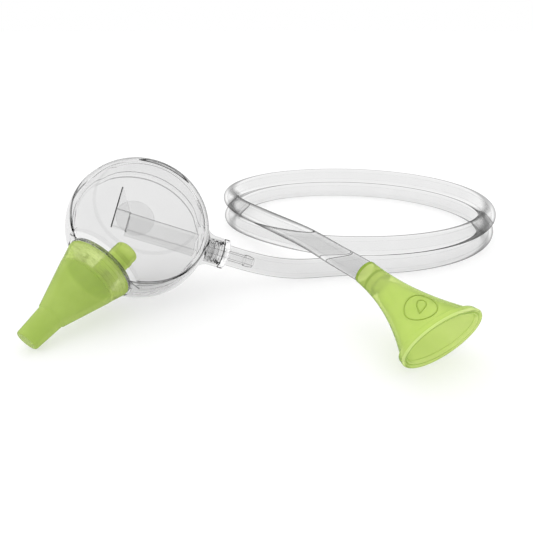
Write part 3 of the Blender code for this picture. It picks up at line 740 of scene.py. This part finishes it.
def window_profile():
    edge = polar_angle(BALL_RADIUS, WINDOW_HEIGHT)
    seam = polar_angle(BALL_RADIUS, SEAM_HEIGHT)
    inner_height = WINDOW_HEIGHT - BALL_WALL
    inner_edge = polar_angle(BALL_INNER, inner_height)
    shoulder = polar_angle(BALL_INNER, sqrt(BALL_INNER ** 2 - SKIRT_INNER ** 2))
    rim = BALL_RADIUS * sin(radians(edge))
    profile = [(0.0, WINDOW_HEIGHT), (rim - 0.7 * MM, WINDOW_HEIGHT),
               (rim - 0.3 * MM, WINDOW_HEIGHT - 0.03 * MM),
               (rim - 0.02 * MM, WINDOW_HEIGHT - 0.16 * MM)]
    profile += arc(BALL_RADIUS, edge + 1.3, seam - 0.4)
    profile += [(BALL_RADIUS * sin(radians(seam)) - 0.12 * MM, SEAM_HEIGHT),
                (SKIRT_OUTER, SEAM_HEIGHT), (SKIRT_OUTER, CLEARANCE + 0.15 * MM),
                (SKIRT_OUTER - 0.15 * MM, CLEARANCE), (SKIRT_INNER + 0.15 * MM, CLEARANCE),
                (SKIRT_INNER, CLEARANCE + 0.15 * MM)]
    profile += arc(BALL_INNER, shoulder, inner_edge + 2.0)
    profile += [(BALL_INNER * sin(radians(inner_edge)) - 0.45 * MM, inner_height - 0.1 * MM),
                (BALL_INNER * sin(radians(inner_edge)) - 1.2 * MM, inner_height),
                (0.0, inner_height)]
    return profile


def bowl_profile():
    seam = polar_angle(BALL_RADIUS, SEAM_HEIGHT)
    rim_top = SEAM_HEIGHT - SEAM_GROOVE
    profile = [(RIM_INNER, rim_top), (BALL_RADIUS * sin(radians(seam)) - 0.1 * MM, rim_top)]
    profile += arc(BALL_RADIUS, seam + 1.1, 180.0)
    profile[-1] = (0.0, -BALL_RADIUS)
    inside = arc(BALL_INNER, 180.0, 90.0)
    inside[0] = (0.0, -BALL_INNER)
    profile += inside
    profile += [(RIM_INNER - 0.1 * MM, 0.0), (RIM_INNER, 0.1 * MM)]
    return profile


def sphere_profile(radius):
    points = arc(radius, 0.0, 180.0)
    points[0] = (0.0, radius)
    points[-1] = (0.0, -radius)
    return points


def neck_profile():
    """Short tube with fine ribs around its outer side."""
    low = SOCKET_FLOOR - 0.5 * SOCKET_PLATE
    corners = [(NECK_INNER, NECK_END, 0.2 * MM), (NECK_OUTER - 0.35 * MM, NECK_END, 0.3 * MM)]
    for crest in (24.2, 22.9, 21.6):
        corners += [(NECK_OUTER - 0.35 * MM, (crest + 0.4) * MM, 0.1 * MM),
                    (NECK_OUTER, crest * MM, 0.15 * MM),
                    (NECK_OUTER - 0.35 * MM, (crest - 0.4) * MM, 0.1 * MM)]
    corners += [(NECK_OUTER - 0.35 * MM, low, 0.0), (NECK_INNER, low, 0.0)]
    return softened(corners)


def collar_profile():
    """Collar whose outer side flares smoothly into the ball."""
    profile = [(0.0, COLLAR_END), (COLLAR_OUTER - 0.25 * MM, COLLAR_END),
               (COLLAR_OUTER - 0.06 * MM, COLLAR_END - 0.08 * MM),
               (COLLAR_OUTER, COLLAR_END - 0.3 * MM)]
    flare_top = COLLAR_END - 2.4 * MM
    flare_low = 22.6 * MM
    steps = 12
    for step in range(steps + 1):
        share = step / steps
        radius = COLLAR_OUTER + (COLLAR_ROOT - COLLAR_OUTER + 0.8 * MM) * share ** 2.6
        profile.append((radius, flare_top + (flare_low - flare_top) * share))
    profile.append((0.0, flare_low))
    return profile


def paint_shell(item):
    """Tinted outside, clear inside, and painted shade in near black on the faces in the seam and at
    the skirt's end.
    """
    slack = 0.02 * MM

    def place(centre):
        offset = centre - BALL_CENTRE
        height = offset.dot(BALL_DIR)
        return offset.length, height, (offset - height * BALL_DIR).length

    def inside(centre, normal):
        distance, height, _ = place(centre)
        return distance < BALL_RADIUS - 0.4 * MM and height < WINDOW_HEIGHT - slack

    def seam_shade(centre, normal):
        _, height, radius = place(centre)
        level = SEAM_HEIGHT - SEAM_GROOVE - slack < height < SEAM_HEIGHT + slack
        return level and radius > SKIRT_OUTER - slack

    def skirt_end_shade(centre, normal):
        _, height, radius = place(centre)
        level = slack / 2.0 < height < CLEARANCE + 0.14 * MM
        return level and abs(normal.dot(BALL_DIR)) < 0.9 and radius < RIM_INNER - 0.25 * MM

    paint_faces(item, 1, inside)
    # Painted shade in the seam groove and at the skirt's end, where the shells meet.
    paint_faces(item, 2, seam_shade)
    paint_faces(item, 2, skirt_end_shade)


def build_ball():
    bowl = turned("ball_bowl", bowl_profile(), BALL_FRAME, BALL_STEPS)
    floor_bottom = SOCKET_FLOOR - SOCKET_PLATE
    plate = cylinder("socket_plate", SOCKET_RADIUS + BALL_WALL, floor_bottom, SOCKET_FLOOR,
                     NOZZLE_FRAME)
    limit = turned("socket_limit", sphere_profile(BALL_RADIUS - 0.15 * MM), BALL_FRAME, BALL_STEPS)
    combined(plate, ("INTERSECT", limit))
    pocket = cylinder("pocket", SOCKET_RADIUS, SOCKET_FLOOR, BALL_RADIUS + MM, NOZZLE_FRAME)
    neck = turned("socket_neck", neck_profile(), NOZZLE_FRAME)
    collar = turned("port_collar", collar_profile(), PORT_FRAME, 80)
    bore = cylinder("port_bore", COLLAR_BORE, COLLAR_FLOOR, COLLAR_END + MM, PORT_FRAME, 80)
    spigot_hole = cylinder("spigot_hole", SPIGOT_RADIUS + 0.15 * MM, SPIGOT_START, NECK_END,
                           SPIGOT_FRAME, 64)
    port_hole = cylinder("port_hole", PORT_HOLE, 0.5 * BALL_RADIUS, COLLAR_END, PORT_FRAME, 64)
    combined(bowl, ("UNION", plate), ("DIFFERENCE", pocket), ("UNION", neck), ("UNION", collar),
             ("DIFFERENCE", bore), ("DIFFERENCE", spigot_hole), ("DIFFERENCE", port_hole))
    paint_shell(bowl)
    finish_piece(bowl, CLEAR_SHELL, "ball", "ball_bowl_shell", "clear_shell", SHELL_INSIDE,
                 SHELL_PAINTED_SHADE)

    window = turned("ball_window", window_profile(), BALL_FRAME, BALL_STEPS)
    socket_notch = cylinder("socket_notch", SOCKET_RADIUS + BALL_WALL + CLEARANCE,
                            floor_bottom - CLEARANCE, BALL_RADIUS + 2.0 * MM, NOZZLE_FRAME)
    port_notch = cylinder("port_notch", COLLAR_ROOT + CLEARANCE, 0.5 * BALL_RADIUS,
                          BALL_RADIUS + 2.0 * MM, PORT_FRAME)
    combined(window, ("DIFFERENCE", socket_notch), ("DIFFERENCE", port_notch))
    paint_shell(window)
    finish_piece(window, CLEAR_WINDOW, "window", "ball_window_shell", "clear_window",
                 SHELL_INSIDE, SHELL_PAINTED_SHADE)


build_ball()


# ---------------------------------------------------------------- air duct

def plate_from_outline(name, outline, low, high, matrix):
    shape = bmesh.new()
    bottom = [shape.verts.new((x, y, low)) for x, y in outline]
    top = [shape.verts.new((x, y, high)) for x, y in outline]
    shape.faces.new(bottom)
    shape.faces.new(top)
    join_rings(shape, bottom, top)
    return add_object(name, mesh_from(name, shape), matrix)


def build_duct():
    width = DUCT_HALF_WIDTH
    depth = DUCT_HALF_DEPTH
    duct = block("air_duct_body", (DUCT_INNER_END, -width, -depth),
                 (DUCT_OUTER_END, width, depth), DUCT_FRAME, 0.2 * MM)
    channel = block("channel", (DUCT_INNER_END - MM, DUCT_WALL - width, DUCT_WALL - depth),
                    (DUCT_OUTER_END + MM, width - DUCT_WALL, depth - DUCT_WALL), DUCT_FRAME)
    outline = softened([(DUCT_OUTER_END - MM, -width, 0.0), (DUCT_OUTER_END - MM, width, 0.0),
                        (DUCT_INNER_END, width, MM), (BAFFLE_P, BAFFLE_TOP, 0.4 * MM),
                        (BAFFLE_P, BAFFLE_BOTTOM, 0.4 * MM)])
    wing = plate_from_outline("wing", outline, depth - 0.85 * DUCT_WALL, depth - 0.05 * MM,
                              DUCT_FRAME)
    combined(duct, ("UNION", wing), ("DIFFERENCE", channel))
    finish_piece(duct, CLEAR_DUCT, "ball", "air_duct", "clear_duct")


def build_disc():
    low = DUCT_HALF_DEPTH + CLEARANCE
    top = low + DISC_THICKNESS
    profile = softened([(0.0, top, 0.0), (DISC_RADIUS, top, 0.3 * MM),
                        (DISC_RADIUS, low, 0.3 * MM), (0.0, low, 0.0)])
    matrix = DUCT_FRAME @ Matrix.Translation(DISC_PLACE)
    disc = turned("inlet_flap", profile, matrix)
    finish_piece(disc, SOFT_DISC, "ball", "inlet_disc", "soft_disc")


build_duct()
build_disc()


# ---------------------------------------------------------------- nozzle

def nozzle_profile():
    """Hollow cone and tip, a step above the skirt, and shallow grooves around the skirt."""
    wall = NOZZLE_WALL
    floor_low = NOZZLE_FLOOR - wall
    corners = [(0.0, NOZZLE_FLOOR, 0.0), (NOZZLE_FLOOR_RADIUS - 1.25 * wall, NOZZLE_FLOOR, 0.5 * MM),
               (NOZZLE_BORE + 0.6 * MM, NOZZLE_STEP - 1.5 * MM, 0.8 * MM),
               (NOZZLE_BORE, NOZZLE_TIP, 0.5 * MM), (NOZZLE_TIP_RADIUS, NOZZLE_TIP, 0.7 * MM),
               (NOZZLE_NECK_RADIUS, NOZZLE_STEP + 0.5 * MM, 0.2 * MM),
               (NOZZLE_STEP_RADIUS, NOZZLE_STEP, 0.3 * MM),
               (NOZZLE_FLOOR_RADIUS, NOZZLE_FLOOR + 0.25 * MM, 0.15 * MM),
               (NOZZLE_FLOOR_RADIUS - 0.12 * MM, NOZZLE_FLOOR, 0.1 * MM),
               (NOZZLE_FLOOR_RADIUS + 0.1 * MM, NOZZLE_FLOOR - 0.3 * MM, 0.15 * MM)]
    rings = 5
    for index in range(rings):
        share = (index + 0.6) / rings
        height = NOZZLE_FLOOR - 0.4 * MM + (NOZZLE_BASE + 0.8 * MM - NOZZLE_FLOOR) * share
        spread = (NOZZLE_BASE_RADIUS - NOZZLE_FLOOR_RADIUS) * share
        radius = NOZZLE_FLOOR_RADIUS + 0.05 * MM + spread
        corners += [(radius, height + 0.22 * MM, 0.1 * MM),
                    (radius - 0.09 * MM, height, 0.1 * MM),
                    (radius + 0.03 * MM, height - 0.22 * MM, 0.1 * MM)]
    corners += [(NOZZLE_BASE_RADIUS, NOZZLE_BASE, 0.4 * MM),
                (NOZZLE_BASE_RADIUS - wall, NOZZLE_BASE, 0.3 * MM),
                (NOZZLE_FLOOR_RADIUS - wall, floor_low, 0.5 * MM), (0.0, floor_low, 0.0)]
    return softened(corners)


def build_nozzle():
    """Cone with its skirt and spigot, with painted light: paler copies of its green inside, along the
    skirt and on the spigot.
    """
    nozzle = turned("nozzle_body", nozzle_profile(), NOZZLE_FRAME, 128)
    low = NOZZLE_FLOOR - 0.4 * NOZZLE_WALL
    spigot = turned("spigot", softened([(0.0, low, 0.0), (SPIGOT_RADIUS, low, 0.0),
                                        (SPIGOT_RADIUS, SPIGOT_START, 1.1 * MM),
                                        (0.0, SPIGOT_START, 0.0)], 8), SPIGOT_FRAME, 64)
    bore = cylinder("spigot_bore", SPIGOT_BORE, SPIGOT_START - MM, NOZZLE_FLOOR + 2.0 * MM,
                    SPIGOT_FRAME, 64)
    combined(nozzle, ("UNION", spigot), ("DIFFERENCE", bore), sharp=40.0)

    def inward(centre, normal):
        offset = centre - BALL_CENTRE
        outward = offset - offset.dot(NOZZLE_DIR) * NOZZLE_DIR
        return normal.dot(outward.normalized()) < -0.3 and offset.dot(NOZZLE_DIR) > NOZZLE_BASE

    def skirt(centre, normal):
        height = (centre - BALL_CENTRE).dot(NOZZLE_DIR)
        level = NOZZLE_BASE - 0.1 * MM < height < NOZZLE_FLOOR + 0.1 * MM
        return level and not inward(centre, normal)

    def reaching(centre, normal):
        return (centre - BALL_CENTRE).dot(NOZZLE_DIR) < NOZZLE_BASE - 0.1 * MM

    # Painted light: paler greens inside, along the skirt and on the spigot.
    paint_faces(nozzle, 1, inward)
    paint_faces(nozzle, 2, skirt)
    paint_faces(nozzle, 3, reaching)
    finish_piece(nozzle, GREEN_NOZZLE, "nozzle", "nozzle", "green_nozzle", NOZZLE_INSIDE_PAINTED_LIGHT,
                 GREEN_SKIRT_PAINTED_LIGHT, GREEN_SPIGOT_PAINTED_LIGHT)


def build_nozzle_seal():
    inner = NECK_OUTER + 0.1 * MM
    outer = SOCKET_RADIUS - 2.0 * CLEARANCE
    low = SOCKET_FLOOR + 0.1 * MM
    high = NOZZLE_BASE - 0.1 * MM
    corners = [(inner, high, 0.2 * MM), (outer, high, 0.3 * MM), (outer, low, 0.2 * MM),
               (inner, low, 0.2 * MM)]
    seal = turned("nozzle_seal_ring", softened(corners), NOZZLE_FRAME)
    finish_piece(seal, SEAL_GREY, "ball", "nozzle_seal", "seal_ring")


build_nozzle()
build_nozzle_seal()


# ---------------------------------------------------------------- connector

def build_connector():
    """Plug with two ridges and a groove, flange with hollow grips, and the barb in the hose."""
    corners = [(CONNECTOR_BORE, BARB_END, 0.2 * MM), (STUB_RADIUS, BARB_END, 0.2 * MM),
               (BARB_RADIUS, BARB_END - 0.6 * BARB_LENGTH, 0.3 * MM),
               (BARB_RADIUS, BARB_END - BARB_LENGTH, 0.1 * MM),
               (STUB_RADIUS, BARB_END - BARB_LENGTH, 0.1 * MM), (STUB_RADIUS, FLANGE_HIGH, 0.3 * MM),
               (COLLAR_OUTER, FLANGE_HIGH, 0.3 * MM), (COLLAR_OUTER, FLANGE_LOW, 0.2 * MM),
               (PLUG_RADIUS, FLANGE_LOW, 0.2 * MM)]
    for crest in (FLANGE_LOW - 1.1 * MM, FLANGE_LOW - 2.5 * MM):
        corners += [(PLUG_RADIUS, crest + 0.5 * MM, 0.1 * MM),
                    (THREAD_RADIUS, crest + 0.15 * MM, 0.1 * MM),
                    (THREAD_RADIUS, crest - 0.15 * MM, 0.1 * MM),
                    (PLUG_RADIUS, crest - 0.5 * MM, 0.1 * MM)]
    corners += [(PLUG_RADIUS, GROOVE_HIGH, 0.1 * MM), (GROOVE_RADIUS, GROOVE_HIGH, 0.1 * MM),
                (GROOVE_RADIUS, GROOVE_LOW, 0.1 * MM), (PLUG_RADIUS, GROOVE_LOW, 0.1 * MM),
                (PLUG_RADIUS, PLUG_LOW, 0.2 * MM), (CONNECTOR_BORE, PLUG_LOW, 0.2 * MM)]
    connector = turned("connector_body", softened(corners), PORT_FRAME, 96)
    grips = []
    for index in range(GRIPS):
        turn = Matrix.Rotation(TAU * index / GRIPS, 4, "Z")
        place = PORT_FRAME @ turn @ Matrix.Translation((COLLAR_OUTER + GRIP_RADIUS / 2.0, 0.0, 0.0))
        grip = cylinder("grip", GRIP_RADIUS, FLANGE_LOW - 0.2 * MM, FLANGE_HIGH + 0.2 * MM, place, 24)
        grips.append(("DIFFERENCE", grip))
    combined(connector, *grips)
    finish_piece(connector, CLEAR_CONNECTOR, "connector", "hose_connector", "clear_connector")


def build_connector_seal():
    centre = ((GROOVE_RADIUS + COLLAR_BORE) / 2.0, (GROOVE_LOW + GROOVE_HIGH) / 2.0)
    ring = arc(O_RING_RADIUS, 0.0, 360.0, centre, 20.0)
    seal = turned("connector_o_ring", ring[:-1], PORT_FRAME)
    finish_piece(seal, RING_GREY, "connector", "connector_seal", "connector_ring")


build_connector()
build_connector_seal()


# ---------------------------------------------------------------- mouthpiece

def mouth_section(distance, inset):
    share = max(0.0, distance / MOUTH_LENGTH)
    width = MOUTH_NECK_RADIUS + (MOUTH_HALF_WIDTH - MOUTH_NECK_RADIUS) * share ** 1.9
    depth = MOUTH_NECK_RADIUS + (MOUTH_HALF_DEPTH - MOUTH_NECK_RADIUS) * share ** 2.2
    return width - inset, depth - inset


def lip_profile():
    """Outline of the thick lip, outwards from the flare and along its axis."""
    corners = [(0.0, -0.3, 0.0), (0.1, 0.0, 0.1), (0.8, 0.2, 0.3), (1.15, 2.0, 0.35),
               (0.75, 2.45, 0.35), (0.1, 2.35, 0.15), (-0.15, 1.95, 0.12), (-0.4, 2.1, 0.15),
               (-0.85, 2.0, 0.3), (-1.3, 1.2, 0.3)]
    outline = softened([(x * MM, y * MM, radius * MM) for x, y, radius in corners])
    return outline[1:]


def build_mouthpiece():
    """Loft from the neck to the oval lip and back down the inside to the hose socket.

    The lip's crest is paler, a painted highlight, and the groove in it and the socket's ends are deep
    green, painted shade.
    """
    sides = 96
    outer_steps = 40
    inner_steps = 29
    rings = []

    def add(width, depth, height, material=0):
        rings.append((width, depth, height, material))

    add(MOUTH_NECK_RADIUS - 0.25 * MM, MOUTH_NECK_RADIUS - 0.25 * MM, 0.0)
    add(MOUTH_NECK_RADIUS - 0.05 * MM, MOUTH_NECK_RADIUS - 0.05 * MM, 0.12 * MM)
    for step in range(outer_steps):
        distance = 0.4 * MM + (MOUTH_LENGTH - LIP_LENGTH - 0.4 * MM) * step / outer_steps
        add(*mouth_section(distance, 0.0), distance)
    width, depth = mouth_section(MOUTH_LENGTH - LIP_LENGTH, 0.0)
    for out, along in lip_profile():
        material = 0
        # Painted highlight on the lip's crest (2) and painted shade in its groove (1).
        if along > 1.8 * MM and out > 0.75 * MM:
            material = 2
        elif along > 1.8 * MM and -0.35 * MM < out < 0.05 * MM:
            material = 1
        add(width + out, depth + out, MOUTH_LENGTH - LIP_LENGTH + along, material)
    low = 11.0 * MM
    top = MOUTH_LENGTH - 1.6 * MM
    for step in range(inner_steps + 1):
        distance = top - (top - low) * step / inner_steps
        add(*mouth_section(distance, MOUTH_WALL), distance)
    add(MOUTH_BORE, MOUTH_BORE, 9.0 * MM)
    add(MOUTH_BORE, MOUTH_BORE, SOCKET_DEPTH)
    socket = HOSE_DIAMETER / 2.0 + 0.05 * MM
    add(socket, socket, SOCKET_DEPTH)
    add(socket, socket, 0.0)

    shape = bmesh.new()
    loops = []
    for width, depth, height, _ in rings:
        ring = []
        for step in range(sides):
            angle = TAU * step / sides
            ring.append(shape.verts.new((width * cos(angle), depth * sin(angle), height)))
        loops.append(ring)
    for (*_, material), ring, following in zip(rings, loops, loops[1:] + loops[:1]):
        join_rings(shape, ring, following, material)
    mouth = add_object("mouthpiece_body", mesh_from("mouthpiece_body", shape), MOUTH_FRAME)

    # Painted shade at the neck's end and the socket's stop.
    def neck_end(centre, normal):
        height = (centre - MOUTH_NECK).dot(MOUTH_DIR)
        stop = abs(height - SOCKET_DEPTH) < 0.05 * MM and abs(normal.dot(MOUTH_DIR)) > 0.9
        return height < 0.9 * MM or stop

    paint_faces(mouth, 1, neck_end)
    finish_piece(mouth, GREEN_MOUTH, "mouthpiece", "mouthpiece", "green_mouthpiece", GREEN_SHADE,
                 GREEN_LIP_HIGHLIGHT)


def wide_face(across, along):
    """Point of the mouthpiece's outer side and its normal, in the mouthpiece's frame."""
    points = []
    step = 0.1 * MM
    for x, z in ((across, along), (across + step, along), (across, along + step)):
        width, depth = mouth_section(z, 0.0)
        points.append(Vector((x, depth * sqrt(max(0.0, 1.0 - (x / width) ** 2)), z)))
    normal = (points[2] - points[0]).cross(points[1] - points[0]).normalized()
    return points[0], normal


def build_mark():
    """Plain ring and drop, raised as a fine bead on the mouthpiece's wide face."""
    long = MARK_LONG * Vector((cos(MARK_TURN), sin(MARK_TURN)))
    short = MARK_SHORT * Vector((sin(MARK_TURN), -cos(MARK_TURN)))
    ring = [(cos(TAU * step / 72), sin(TAU * step / 72)) for step in range(72)]
    drop = []
    for step in range(48):
        angle = TAU * step / 48
        drop.append((0.55 * cos(angle), 0.42 * sin(angle) * sin(angle / 2.0) ** 1.5))
    for name, outline in (("mark_ring", ring), ("mark_drop", drop)):
        shape = bmesh.new()
        centres = []
        for x, y in outline:
            centres.append(wide_face(*(MARK_PLACE + x * long + y * short)))
        loops = []
        for index, (centre, normal) in enumerate(centres):
            after = centres[(index + 1) % len(centres)][0]
            before = centres[index - 1][0]
            ahead = (after - before).normalized()
            side = ahead.cross(normal).normalized()
            loop = []
            for turn in range(10):
                angle = TAU * turn / 10
                reach = MARK_BEAD * (cos(angle) * side + sin(angle) * normal)
                loop.append(shape.verts.new(centre + reach + 0.05 * MM * normal))
            loops.append(loop)
        for loop, following in zip(loops, loops[1:] + loops[:1]):
            join_rings(shape, loop, following)
        mark = add_object(name, mesh_from(name, shape, 60.0), MOUTH_FRAME)
        finish_piece(mark, GREEN_MARK, "mouthpiece", None, "green_mouthpiece")


build_mouthpiece()
build_mark()


# ---------------------------------------------------------------- studio

# Height in the sky, from 0 at the horizon to 1 overhead, and its brightness
SKY = ((0.0, 1.0), (0.14, 1.0), (0.26, 0.9), (0.45, 0.9), (0.6, 1.0), (1.0, 1.0))
FLOOR_RADIUS = 6.0
FLOOR_HEIGHT = -0.2 * MM
FLOOR_GLOW = 0.53


def build_floor():
    """Round sheet of pale paper that glows faintly, as if lit from below."""
    shape = bmesh.new()
    bmesh.ops.create_circle(shape, cap_ends=True, radius=FLOOR_RADIUS, segments=96)
    floor = add_object("floor", mesh_from("floor", shape))
    floor.location.z = FLOOR_HEIGHT
    material, tree, shader = new_material("floor_paper")
    shader.inputs["Roughness"].default_value = 0.75
    shader.inputs["Emission Color"].default_value = (1.0, 1.0, 1.0, 1.0)
    shader.inputs["Emission Strength"].default_value = FLOOR_GLOW
    add_variation(tree, shader, grey(0.41), grey(0.42), 3.0)
    floor.data.materials.append(material)


def build_world():
    """White sky with a faint grey band part of the way up."""
    world = bpy.data.worlds.new("studio")
    bpy.context.scene.world = world
    world.use_nodes = True
    tree = world.node_tree
    background = tree.nodes["Background"]
    background.inputs["Strength"].default_value = 1.0
    place = tree.nodes.new("ShaderNodeTexCoord")
    split = tree.nodes.new("ShaderNodeSeparateXYZ")
    ramp = tree.nodes.new("ShaderNodeValToRGB")
    ramp.color_ramp.interpolation = "EASE"
    stops = ramp.color_ramp.elements
    for position, _ in SKY[1:-1]:
        stops.new(position)
    for stop, (position, value) in zip(stops, SKY):
        stop.position = position
        stop.color = (*grey(value), 1.0)
    tree.links.new(place.outputs["Generated"], split.inputs["Vector"])
    tree.links.new(split.outputs["Z"], ramp.inputs["Fac"])
    tree.links.new(ramp.outputs["Color"], background.inputs["Color"])


def add_sun():
    """Very wide sun, the even light of a studio tent."""
    data = bpy.data.lights.new("tent", "SUN")
    data.energy = 1.0
    data.angle = radians(110.0)
    light = bpy.data.objects.new("tent", data)
    bpy.context.scene.collection.objects.link(light)
    light.rotation_euler = Vector((0.25, -0.3, -1.0)).to_track_quat("-Z", "Y").to_euler()


build_floor()
build_world()
add_sun()
bpy.context.scene.view_settings.view_transform = "Standard"
